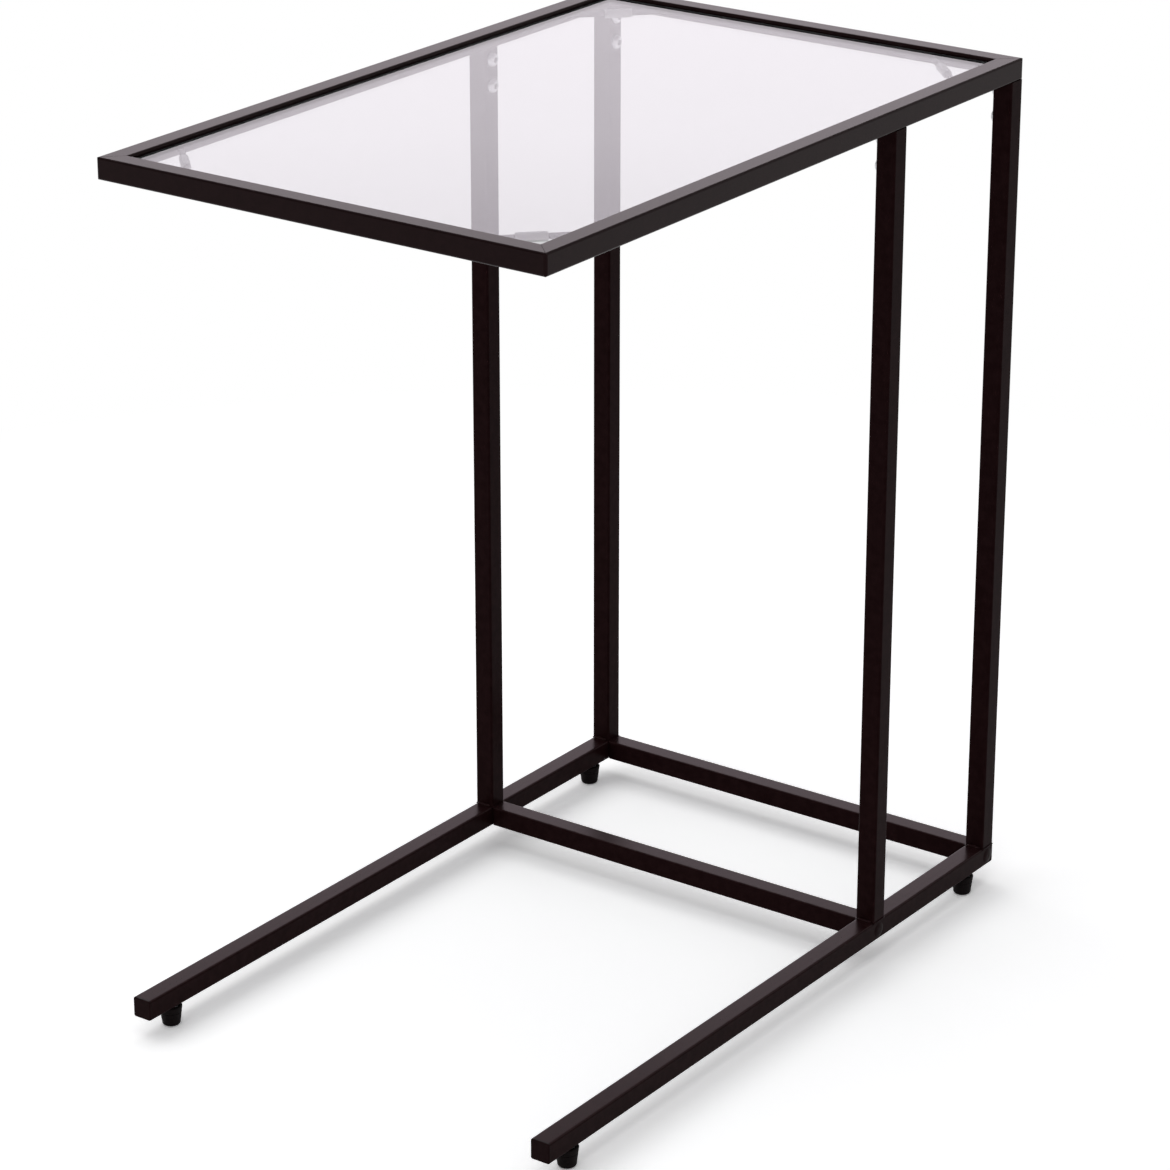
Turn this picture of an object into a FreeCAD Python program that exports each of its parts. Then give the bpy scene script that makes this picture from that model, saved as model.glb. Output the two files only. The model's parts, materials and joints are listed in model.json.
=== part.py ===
import FreeCAD, Part
import math
import os

# C-shaped side table: two side frames of square steel tube, two crossbars, and a mitred tube frame
# on top that holds a glass pane on diagonal corner rods.
# All sizes are in millimetres. X runs across the table, Y along it with the open end of the C at -Y,
# Z up. The origin is on the floor under the middle of the table.

# Overall sizes
TABLE_WIDTH = 355.0
TABLE_LENGTH = 560.0
TABLE_HEIGHT = 630.0
FOOT_HEIGHT = 16.0
POST_PITCH = 152.0

# Square steel tube, the same for every bar of the frame
TUBE = 15.0
TUBE_WALL = 1.2
TUBE_CORNER = 1.5
SEAM_WIDTH = 0.35
SEAM_DEPTH = 0.25
MITRE_CORNER = 2.0

# Glass pane, the rods that carry it and the clear sleeves between them
GLASS_THICKNESS = 5.0
GLASS_RECESS = 2.5
GLASS_GAP = 1.0
GLASS_CORNER = 4.0
GLASS_ARRIS = 0.6
ROD_LEG = 50.0
ROD_DIAMETER = 4.0
SLEEVE_DIAMETER = 6.5
SLEEVE_LENGTH = 20.0
SLEEVE_SQUASH = 0.4
SLEEVE_CLEARANCE = 0.1

# Spigots under the top frame, and the bolts that hold the posts on them
SPIGOT_LENGTH = 36.0
SLIP_CLEARANCE = 0.2
BOLT_DIAMETER = 6.0
BOLT_LENGTH = 12.0
BOLT_HEAD_DIAMETER = 10.5
BOLT_HEAD_HEIGHT = 3.3
BOLT_TOP_FLAT = 6.0
BOLT_SOCKET = 4.0
BOLT_SOCKET_DEPTH = 2.0
UPPER_BOLT_DROP = 8.0
BOLT_PITCH = 19.0
HOLE_CLEARANCE = 0.2
THREAD_CLEARANCE = 0.05

# Threaded plugs in the crossbar ends, the screws through the runners and the caps over those screws
PLUG_FLANGE = 0.8
PLUG_FLANGE_INSET = 1.2
PLUG_LENGTH = 16.0
CAP_SCREW_DIAMETER = 5.0
CAP_SCREW_LENGTH = 14.0
CAP_SCREW_HEAD_DIAMETER = 8.5
CAP_SCREW_HEAD_HEIGHT = 5.0
CAP_SCREW_SOCKET = 4.0
CAP_SCREW_SOCKET_DEPTH = 2.5
ACCESS_CLEARANCE = 0.5
HOLE_COVER_OVERLAP = 0.9
HOLE_COVER_RISE = 0.7
HOLE_COVER_LENGTH = 3.0

# Plastic caps in the runner ends
END_CAP_FLANGE = 2.0
END_CAP_LENGTH = 14.0
END_CAP_EDGE = 0.8

# Levelling feet: a rubber pad that swivels on the head of a threaded stud
FOOT_SETBACK = 30.0
FOOT_TOP_DIAMETER = 16.0
FOOT_BASE_DIAMETER = 12.5
FOOT_BASE_FILLET = 2.0
FOOT_TOP_FILLET = 0.8
FOOT_FLOOR = 3.6
STUD_DIAMETER = 6.0
STUD_TIP_GAP = 2.0
STUD_TIP_CHAMFER = 0.8
STUD_HEAD_DIAMETER = 9.0
STUD_HEAD_HEIGHT = 3.0
STUD_HEX = 10.0
STUD_HEX_HEIGHT = 2.5
SWIVEL_CLEARANCE = 0.25
NUT_FLANGE_DIAMETER = 11.0
NUT_FLANGE = 0.8
NUT_WALL = 1.0
NUT_LENGTH = 10.0

# Places worked out from the sizes above
SIDE_X = TABLE_WIDTH / 2 - TUBE / 2
REAR_POST_Y = TABLE_LENGTH / 2 - TUBE / 2
FRONT_POST_Y = REAR_POST_Y - POST_PITCH
INNER_X = TABLE_WIDTH / 2 - TUBE
INNER_Y = TABLE_LENGTH / 2 - TUBE
RAIL_BOTTOM = TABLE_HEIGHT - TUBE
RUNNER_BOTTOM = FOOT_HEIGHT
RUNNER_TOP = FOOT_HEIGHT + TUBE
RUNNER_MIDDLE = FOOT_HEIGHT + TUBE / 2
GLASS_TOP = TABLE_HEIGHT - GLASS_RECESS
GLASS_BOTTOM = GLASS_TOP - GLASS_THICKNESS
ROD_AXIS = GLASS_BOTTOM + SLEEVE_SQUASH - SLEEVE_DIAMETER / 2
TUBE_BORE = TUBE - 2 * TUBE_WALL
SLIP_SIZE = TUBE_BORE - 2 * SLIP_CLEARANCE
ACCESS_DIAMETER = CAP_SCREW_HEAD_DIAMETER + 2 * ACCESS_CLEARANCE
FOOT_Y = TABLE_LENGTH / 2 - FOOT_SETBACK
NUT_SEAT = RUNNER_BOTTOM - NUT_FLANGE

SIDES = {"left": -1, "right": 1}
ENDS = {"front": -1, "rear": 1}
POST_YS = {"front": FRONT_POST_Y, "rear": REAR_POST_Y}

X_AXIS = FreeCAD.Vector(1, 0, 0)
Y_AXIS = FreeCAD.Vector(0, 1, 0)
Z_AXIS = FreeCAD.Vector(0, 0, 1)


def point(x, y, z):
    """A point in the table's frame."""
    return FreeCAD.Vector(x, y, z)


def rounded_bar(low, high, axis, radius):
    """A box from low to high whose long edges, those along the axis, are rounded."""
    size = high - low
    bar = Part.makeBox(size.x, size.y, size.z, low)
    if radius <= 0:
        return bar
    long_edges = []
    for edge in bar.Edges:
        along = edge.tangentAt(edge.FirstParameter)
        if abs(along.dot(axis)) > 0.99:
            long_edges.append(edge)
    return bar.makeFillet(radius, long_edges)


def tube_between(low, high, axis):
    """A hollow square tube whose outside runs from low to high along the axis."""
    inset = TUBE_WALL * (point(1, 1, 1) - axis)
    bore = rounded_bar(low + inset, high - inset, axis, TUBE_CORNER - TUBE_WALL)
    return rounded_bar(low, high, axis, TUBE_CORNER).cut(bore)


def cylinder(start, direction, diameter, length):
    """A round bar from start along the direction."""
    return Part.makeCylinder(diameter / 2, length, start, direction)


def hexagon(start, direction, across_flats, length):
    """A hexagonal prism from start along X or Z."""
    radius = across_flats / math.sqrt(3)
    corners = []
    for k in range(7):
        angle = math.radians(60 * k)
        a, b = radius * math.cos(angle), radius * math.sin(angle)
        across = point(0, a, b) if abs(direction.x) > 0.5 else point(a, b, 0)
        corners.append(start + across)
    return Part.Face(Part.makePolygon(corners)).extrude(direction * length)


def turned(outline):
    """A solid turned about Z from a closed outline of (radius, height) points.

    A middle point written as a third and fourth number makes the stretch that ends there an arc.
    """
    edges = []
    before = outline[-1]
    for here in outline:
        start, end = point(before[0], 0, before[1]), point(here[0], 0, here[1])
        if len(here) == 4:
            edges.append(Part.Arc(start, point(here[2], 0, here[3]), end).toShape())
        else:
            edges.append(Part.LineSegment(start, end).toShape())
        before = here
    face = Part.Face(Part.Wire(edges))
    return face.revolve(point(0, 0, 0), Z_AXIS, 360)


def round_corner(corner_radius, corner_height, fillet, across, up):
    """The two outline points of a quarter-round corner whose sides run inward and up or down.

    across and up are 1 or -1: where the round's centre lies from the sharp corner.
    """
    bulge = fillet * (1 - math.sqrt(0.5))
    first = (corner_radius + across * fillet, corner_height)
    last = (corner_radius, corner_height + up * fillet,
            corner_radius + across * bulge, corner_height + up * bulge)
    return first, last


def lay_along_x(shape, sign):
    """Turns a solid made about Z so that its +Z points along X, to the side given by sign."""
    laid = shape.copy()
    laid.rotate(point(0, 0, 0), Y_AXIS, 90 * sign)
    return laid


def moved(shape, place):
    """A copy of the shape moved to a place."""
    copy = shape.copy()
    copy.translate(place)
    return copy


def mitre_seams():
    """The fine V-shaped seam lines along the four mitres, above and below."""
    seams = []
    for side in SIDES.values():
        for end in ENDS.values():
            outer = point(side * TABLE_WIDTH / 2, end * TABLE_LENGTH / 2, 0)
            inward = point(-side * TUBE, -end * TUBE, 0)
            across = point(side, -end, 0).normalize() * (SEAM_WIDTH / 2)
            for height, down in ((TABLE_HEIGHT, -1), (RAIL_BOTTOM, 1)):
                base = outer + point(0, 0, height)
                tip = base + point(0, 0, down * SEAM_DEPTH)
                outline = Part.makePolygon([base - across, base + across, tip, base - across])
                seams.append(Part.Face(outline).extrude(inward))
    return Part.makeCompound(seams)


def mitred_wedge(corners):
    """The upright prism that a mitred rail fills, over its four corners in plan."""
    outline = [point(x, y, RAIL_BOTTOM) for x, y in corners + corners[:1]]
    return Part.Face(Part.makePolygon(outline)).extrude(Z_AXIS * TUBE)


def mitred_rail(tube, wedge):
    """A tube cut to its mitres, with the frame's upright corners ground round and the seams left in it."""
    half_x, half_y = TABLE_WIDTH / 2, TABLE_LENGTH / 2
    ground_frame = rounded_bar(point(-half_x, -half_y, RAIL_BOTTOM), point(half_x, half_y, TABLE_HEIGHT),
                               Z_AXIS, MITRE_CORNER)
    return tube.common(wedge).common(ground_frame).cut(mitre_seams())


def end_rail(end):
    """A short rail of the top frame, across the table's front or rear end."""
    half, y_out, y_in = TABLE_WIDTH / 2, end * TABLE_LENGTH / 2, end * INNER_Y
    tube = tube_between(point(-half, min(y_out, y_in), RAIL_BOTTOM),
                        point(half, max(y_out, y_in), TABLE_HEIGHT), X_AXIS)
    wedge = mitred_wedge([(-half, y_out), (half, y_out), (INNER_X, y_in), (-INNER_X, y_in)])
    return mitred_rail(tube, wedge)


def side_rail(side):
    """A long rail of the top frame, along the table's left or right side."""
    half, x_out, x_in = TABLE_LENGTH / 2, side * TABLE_WIDTH / 2, side * INNER_X
    tube = tube_between(point(min(x_out, x_in), -half, RAIL_BOTTOM),
                        point(max(x_out, x_in), half, TABLE_HEIGHT), Y_AXIS)
    wedge = mitred_wedge([(x_out, -half), (x_out, half), (x_in, INNER_Y), (x_in, -INNER_Y)])
    return mitred_rail(tube, wedge)


def glass_pane():
    """The pane: rounded in plan at its corners, with a ground arris along its edges."""
    half_x, half_y = INNER_X - GLASS_GAP, INNER_Y - GLASS_GAP
    pane = rounded_bar(point(-half_x, -half_y, GLASS_BOTTOM), point(half_x, half_y, GLASS_TOP),
                       Z_AXIS, GLASS_CORNER)
    rims = []
    for edge in pane.Edges:
        box = edge.BoundBox
        if box.ZLength < GLASS_THICKNESS / 2:
            rims.append(edge)
    return pane.makeChamfer(GLASS_ARRIS, rims)


def frame_inside(top):
    """The space between the top rails, from their underside up to a height."""
    return rounded_bar(point(-INNER_X, -INNER_Y, RAIL_BOTTOM), point(INNER_X, INNER_Y, top), Z_AXIS, 0)


def round_across_corner(side, end, diameter, length):
    """A round bar of a given length on the middle of the line of a corner's rod."""
    middle = point(side * (INNER_X - ROD_LEG / 2), end * (INNER_Y - ROD_LEG / 2), ROD_AXIS)
    along = point(side, -end, 0).normalize()
    return cylinder(middle - along * (length / 2), along, diameter, length)


def corner_rod(side, end):
    """A round rod across a corner of the top frame, cut to meet the rails' inner faces."""
    return round_across_corner(side, end, ROD_DIAMETER, 2 * ROD_LEG).common(frame_inside(TABLE_HEIGHT))


def rod_sleeve(side, end):
    """A clear sleeve on the middle of a rod, pressed flat where the glass lies on it."""
    bore = round_across_corner(side, end, ROD_DIAMETER + 2 * SLEEVE_CLEARANCE, SLEEVE_LENGTH)
    sleeve = round_across_corner(side, end, SLEEVE_DIAMETER, SLEEVE_LENGTH).cut(bore)
    return sleeve.common(frame_inside(GLASS_BOTTOM))


def post_bolt_heights():
    """The heights of the two bolts in each post."""
    upper = RAIL_BOTTOM - UPPER_BOLT_DROP
    return [upper, upper - BOLT_PITCH]


def post(side, end_name):
    """An upright tube from a runner to the top frame, with two bolt holes in its inner wall."""
    x, y = side * SIDE_X, POST_YS[end_name]
    half = TUBE / 2
    upright = tube_between(point(x - half, y - half, RUNNER_TOP), point(x + half, y + half, RAIL_BOTTOM),
                           Z_AXIS)
    hole = BOLT_DIAMETER + 2 * HOLE_CLEARANCE
    for height in post_bolt_heights():
        inner_face = point(side * INNER_X, y, height)
        upright = upright.cut(cylinder(inner_face, X_AXIS * side, hole, TUBE / 2))
    return upright


def spigot(side, end_name):
    """A square bar under the top frame that the post slides over, tapped for the two bolts."""
    x, y = side * SIDE_X, POST_YS[end_name]
    half = SLIP_SIZE / 2
    bar = rounded_bar(point(x - half, y - half, RAIL_BOTTOM - SPIGOT_LENGTH),
                      point(x + half, y + half, RAIL_BOTTOM), Z_AXIS, TUBE_CORNER - TUBE_WALL)
    hole = BOLT_DIAMETER + 2 * THREAD_CLEARANCE
    for height in post_bolt_heights():
        bar = bar.cut(cylinder(point(x - half, y, height), X_AXIS, hole, SLIP_SIZE))
    return bar


def button_bolt():
    """A button-head bolt about Z: its head stands up from z 0 and its shank points down."""
    head, flat = BOLT_HEAD_DIAMETER / 2, BOLT_TOP_FLAT / 2
    shank = BOLT_DIAMETER / 2
    brow = ((head + flat) / 2 + BOLT_HEAD_HEIGHT * 0.12, BOLT_HEAD_HEIGHT * 0.68)
    bolt = turned([
        (0, BOLT_HEAD_HEIGHT),
        (flat, BOLT_HEAD_HEIGHT),
        (head, BOLT_HEAD_HEIGHT * 0.2, brow[0], brow[1]),
        (head, 0),
        (shank, 0),
        (shank, -BOLT_LENGTH),
        (0, -BOLT_LENGTH),
    ])
    floor = point(0, 0, BOLT_HEAD_HEIGHT - BOLT_SOCKET_DEPTH)
    return bolt.cut(hexagon(floor, Z_AXIS, BOLT_SOCKET, BOLT_SOCKET_DEPTH))


def post_bolts():
    """All the bolts that hold the posts on the spigots, heads on the posts' inner faces."""
    bolts = []
    for side in SIDES.values():
        bolt = lay_along_x(button_bolt(), -side)
        for y in POST_YS.values():
            for height in post_bolt_heights():
                bolts.append(moved(bolt, point(side * INNER_X, y, height)))
    return Part.makeCompound(bolts)


def runner(side):
    """A floor tube along the table, drilled for the crossbar screws and the levelling feet."""
    x, half = side * SIDE_X, TUBE / 2
    end_y = TABLE_LENGTH / 2 - END_CAP_FLANGE
    tube = tube_between(point(x - half, -end_y, RUNNER_BOTTOM), point(x + half, end_y, RUNNER_TOP), Y_AXIS)
    screw_hole = CAP_SCREW_DIAMETER + 2 * HOLE_CLEARANCE
    nut_hole = STUD_DIAMETER + 2 * NUT_WALL + 2 * THREAD_CLEARANCE
    for y in POST_YS.values():
        outer_face = point(side * TABLE_WIDTH / 2, y, RUNNER_MIDDLE)
        inward = X_AXIS * -side
        tube = tube.cut(cylinder(outer_face, inward, screw_hole, TUBE))
        tube = tube.cut(cylinder(outer_face, inward, ACCESS_DIAMETER, TUBE / 2))
    for end in ENDS.values():
        underside = point(x, end * FOOT_Y, RUNNER_BOTTOM)
        tube = tube.cut(cylinder(underside, Z_AXIS, nut_hole, TUBE / 2))
    return tube


def crossbar(end_name):
    """A tube between the two runners, under a pair of posts."""
    half = TUBE / 2
    y, end_x = POST_YS[end_name], INNER_X - PLUG_FLANGE
    return tube_between(point(-end_x, y - half, RUNNER_BOTTOM), point(end_x, y + half, RUNNER_TOP), X_AXIS)


def crossbar_plugs():
    """The threaded plugs pressed into the four crossbar ends."""
    plugs = []
    flange_half = TUBE / 2 - PLUG_FLANGE_INSET
    body_half = SLIP_SIZE / 2
    bore = CAP_SCREW_DIAMETER + 2 * THREAD_CLEARANCE
    for side in SIDES.values():
        for y in POST_YS.values():
            face, inside = side * INNER_X, side * (INNER_X - PLUG_FLANGE)
            deep = side * (INNER_X - PLUG_FLANGE - PLUG_LENGTH)
            flange = rounded_bar(point(min(face, inside), y - flange_half, RUNNER_MIDDLE - flange_half),
                                 point(max(face, inside), y + flange_half, RUNNER_MIDDLE + flange_half),
                                 X_AXIS, TUBE_CORNER)
            body = rounded_bar(point(min(inside, deep), y - body_half, RUNNER_MIDDLE - body_half),
                               point(max(inside, deep), y + body_half, RUNNER_MIDDLE + body_half),
                               X_AXIS, TUBE_CORNER - TUBE_WALL)
            plug = flange.fuse(body).removeSplitter()
            mouth = point(face, y, RUNNER_MIDDLE)
            plugs.append(plug.cut(cylinder(mouth, X_AXIS * -side, bore, PLUG_FLANGE + PLUG_LENGTH)))
    return Part.makeCompound(plugs)


def cap_screw():
    """A socket cap screw about Z: its head stands up from z 0 and its shank points down."""
    head, shank = CAP_SCREW_HEAD_DIAMETER / 2, CAP_SCREW_DIAMETER / 2
    screw = turned([
        (0, CAP_SCREW_HEAD_HEIGHT),
        (head, CAP_SCREW_HEAD_HEIGHT),
        (head, 0),
        (shank, 0),
        (shank, -CAP_SCREW_LENGTH),
        (0, -CAP_SCREW_LENGTH),
    ])
    floor = point(0, 0, CAP_SCREW_HEAD_HEIGHT - CAP_SCREW_SOCKET_DEPTH)
    return screw.cut(hexagon(floor, Z_AXIS, CAP_SCREW_SOCKET, CAP_SCREW_SOCKET_DEPTH))


def crossbar_screws():
    """The screws through the runners' inner walls into the crossbar plugs."""
    screws = []
    for side in SIDES.values():
        screw = lay_along_x(cap_screw(), side)
        for y in POST_YS.values():
            seat = point(side * (INNER_X + TUBE_WALL), y, RUNNER_MIDDLE)
            screws.append(moved(screw, seat))
    return Part.makeCompound(screws)


def hole_cover():
    """A low domed cover about Z for a screw's access hole: its lip rests on z 0."""
    body = ACCESS_DIAMETER / 2 - HOLE_CLEARANCE
    lip = ACCESS_DIAMETER / 2 + HOLE_COVER_OVERLAP
    return turned([
        (0, HOLE_COVER_RISE),
        (lip, 0, lip * 0.7, HOLE_COVER_RISE * 0.72),
        (body, 0),
        (body, -HOLE_COVER_LENGTH),
        (0, -HOLE_COVER_LENGTH),
    ])


def hole_covers():
    """The covers over the four access holes in the runners' outer faces."""
    covers = []
    for side in SIDES.values():
        cover = lay_along_x(hole_cover(), side)
        for y in POST_YS.values():
            covers.append(moved(cover, point(side * TABLE_WIDTH / 2, y, RUNNER_MIDDLE)))
    return Part.makeCompound(covers)


def end_cap(side, end):
    """A plastic cap on a runner's end: a flange as large as the tube, and two tongues inside it.

    The tongues lie above and below the space that the crossbar screw takes.
    """
    x, half = side * SIDE_X, TUBE / 2
    outside, seat = end * TABLE_LENGTH / 2, end * (TABLE_LENGTH / 2 - END_CAP_FLANGE)
    deep = end * (TABLE_LENGTH / 2 - END_CAP_FLANGE - END_CAP_LENGTH)
    flange = rounded_bar(point(x - half, min(outside, seat), RUNNER_BOTTOM),
                         point(x + half, max(outside, seat), RUNNER_TOP), Y_AXIS, TUBE_CORNER)
    rims = []
    for edge in flange.Edges:
        box = edge.BoundBox
        if abs(box.YMin - outside) < 0.01 and abs(box.YMax - outside) < 0.01:
            rims.append(edge)
    flange = flange.makeFillet(END_CAP_EDGE, rims)
    body_half = SLIP_SIZE / 2
    body = rounded_bar(point(x - body_half, min(seat, deep), RUNNER_MIDDLE - body_half),
                       point(x + body_half, max(seat, deep), RUNNER_MIDDLE + body_half),
                       Y_AXIS, TUBE_CORNER - TUBE_WALL)
    space_half = ACCESS_DIAMETER / 2
    screw_space = rounded_bar(point(x - half, min(seat, deep), RUNNER_MIDDLE - space_half),
                              point(x + half, max(seat, deep), RUNNER_MIDDLE + space_half), Y_AXIS, 0)
    return flange.fuse(body.cut(screw_space)).removeSplitter()


def foot_place(side, end):
    """The point on the floor under a levelling foot."""
    return point(side * SIDE_X, end * FOOT_Y, 0)


def stud_heights():
    """The stud's heights at rest: under its head, over its head, under and over its hexagon, its tip."""
    hex_top = NUT_SEAT
    hex_bottom = hex_top - STUD_HEX_HEIGHT
    head_bottom = FOOT_FLOOR + SWIVEL_CLEARANCE
    tip = RUNNER_TOP - TUBE_WALL - STUD_TIP_GAP
    return head_bottom, head_bottom + STUD_HEAD_HEIGHT, hex_bottom, hex_top, tip


def foot_stud(side, end):
    """A threaded stud with a hexagon for a spanner and a round head held in the rubber pad."""
    head_bottom, head_top, hex_bottom, _, tip = stud_heights()
    head, shank = STUD_HEAD_DIAMETER / 2, STUD_DIAMETER / 2
    core = turned([
        (0, tip),
        (shank - STUD_TIP_CHAMFER, tip),
        (shank, tip - STUD_TIP_CHAMFER),
        (shank, head_top),
        (head, head_top),
        (head, head_bottom),
        (0, head_bottom),
    ])
    nut = hexagon(point(0, 0, hex_bottom), Z_AXIS, STUD_HEX, STUD_HEX_HEIGHT)
    return moved(core.fuse(nut).removeSplitter(), foot_place(side, end))


def foot_pad(side, end):
    """A tapered rubber pad, hollow for the stud's head, that stands on the floor."""
    _, head_top, hex_bottom, _, _ = stud_heights()
    top = hex_bottom - SWIVEL_CLEARANCE
    base, wide = FOOT_BASE_DIAMETER / 2, FOOT_TOP_DIAMETER / 2
    neck = STUD_DIAMETER / 2 + SWIVEL_CLEARANCE
    cavity = STUD_HEAD_DIAMETER / 2 + SWIVEL_CLEARANCE
    roof = head_top + SWIVEL_CLEARANCE
    base_start, base_end = round_corner(base, 0, FOOT_BASE_FILLET, -1, 1)
    shoulder_end, shoulder_start = round_corner(wide, top, FOOT_TOP_FILLET, -1, -1)
    pad = turned([
        (0, 0),
        base_start,
        base_end,
        shoulder_start[:2],
        shoulder_end + shoulder_start[2:],
        (neck, top),
        (neck, roof),
        (cavity, roof),
        (cavity, FOOT_FLOOR),
        (0, FOOT_FLOOR),
    ])
    return moved(pad, foot_place(side, end))


def rivet_nuts():
    """The threaded inserts set in the runners' undersides for the feet."""
    bore = STUD_DIAMETER / 2 + THREAD_CLEARANCE
    body = STUD_DIAMETER / 2 + NUT_WALL
    flange = NUT_FLANGE_DIAMETER / 2
    nut = turned([
        (bore, NUT_SEAT),
        (flange, NUT_SEAT),
        (flange, RUNNER_BOTTOM),
        (body, RUNNER_BOTTOM),
        (body, RUNNER_BOTTOM + NUT_LENGTH),
        (bore, RUNNER_BOTTOM + NUT_LENGTH),
    ])
    nuts = []
    for side in SIDES.values():
        for end in ENDS.values():
            nuts.append(moved(nut, foot_place(side, end)))
    return Part.makeCompound(nuts)


def build():
    """Every piece of the table by the name of its node."""
    nodes = {"glass_top": glass_pane()}
    for end_name, end in ENDS.items():
        nodes["top_%s_rail" % end_name] = end_rail(end)
        nodes["%s_crossbar" % end_name] = crossbar(end_name)
    for side_name, side in SIDES.items():
        nodes["top_%s_rail" % side_name] = side_rail(side)
        nodes["%s_runner" % side_name] = runner(side)
        for end_name, end in ENDS.items():
            corner = "%s_%s" % (end_name, side_name)
            nodes["corner_rod_" + corner] = corner_rod(side, end)
            nodes["rod_sleeve_" + corner] = rod_sleeve(side, end)
            nodes["post_" + corner] = post(side, end_name)
            nodes["spigot_" + corner] = spigot(side, end_name)
            nodes["end_cap_" + corner] = end_cap(side, end)
            nodes["foot_pad_" + corner] = foot_pad(side, end)
            nodes["foot_stud_" + corner] = foot_stud(side, end)
    nodes["post_bolts"] = post_bolts()
    nodes["crossbar_plugs"] = crossbar_plugs()
    nodes["crossbar_screws"] = crossbar_screws()
    nodes["hole_covers"] = hole_covers()
    nodes["rivet_nuts"] = rivet_nuts()
    return nodes


os.makedirs("parts", exist_ok=True)
for name, shape in build().items():
    if not shape.isValid() or shape.Volume <= 0:
        raise ValueError("%s is not a valid solid" % name)
    shape.exportStep("parts/%s.step" % name)
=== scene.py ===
"""Finishes, fine details, light and camera for a C-shaped side table of dark tube and glass."""

import json
import logging
import math
from dataclasses import dataclass, field, replace
from enum import Enum
from typing import Callable

import bmesh
import bpy
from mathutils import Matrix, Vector


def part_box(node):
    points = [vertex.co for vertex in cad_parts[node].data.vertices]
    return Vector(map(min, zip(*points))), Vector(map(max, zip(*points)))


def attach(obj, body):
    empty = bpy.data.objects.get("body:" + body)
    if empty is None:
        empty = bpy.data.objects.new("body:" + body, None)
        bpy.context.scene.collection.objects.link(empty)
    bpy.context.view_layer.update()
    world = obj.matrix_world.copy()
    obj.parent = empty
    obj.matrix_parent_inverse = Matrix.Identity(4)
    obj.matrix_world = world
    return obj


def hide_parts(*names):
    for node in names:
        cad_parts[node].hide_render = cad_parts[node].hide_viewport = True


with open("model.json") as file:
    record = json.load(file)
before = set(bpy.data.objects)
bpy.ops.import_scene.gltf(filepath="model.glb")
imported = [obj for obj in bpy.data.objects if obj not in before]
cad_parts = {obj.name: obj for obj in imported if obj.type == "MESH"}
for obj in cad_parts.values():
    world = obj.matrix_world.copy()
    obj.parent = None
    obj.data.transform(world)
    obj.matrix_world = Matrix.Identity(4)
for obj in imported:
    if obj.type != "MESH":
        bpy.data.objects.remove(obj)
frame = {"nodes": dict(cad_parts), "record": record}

LOG = logging.getLogger("side_table")
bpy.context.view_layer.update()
UP = Vector((0.0, 0.0, 1.0))

Colour = tuple[float, float, float]
Place = tuple[float, float, float]
Span = tuple[float, float]
Outline = list[tuple[float, float]]
Shape = Callable[[float], float]
Row = tuple[float, Shape]
Socket = bpy.types.NodeSocket


class Slot(Enum):
    """The record's material slots."""

    PAINT = "frame_paint"
    GLASS = "glass"
    ZINC = "zinc_hardware"
    PLASTIC = "black_plastic"
    RUBBER = "rubber"
    SLEEVE = "clear_sleeve"


class Corner(Enum):
    """The table's four corners, as the nodes name them."""

    FRONT_LEFT = "front_left"
    FRONT_RIGHT = "front_right"
    REAR_LEFT = "rear_left"
    REAR_RIGHT = "rear_right"

    @property
    def side(self) -> int:
        """Minus 1 on the left and 1 on the right."""
        return -1 if self.value.endswith("left") else 1

    @property
    def end(self) -> int:
        """Minus 1 at the front and 1 at the rear."""
        return -1 if self.value.startswith("front") else 1


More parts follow.
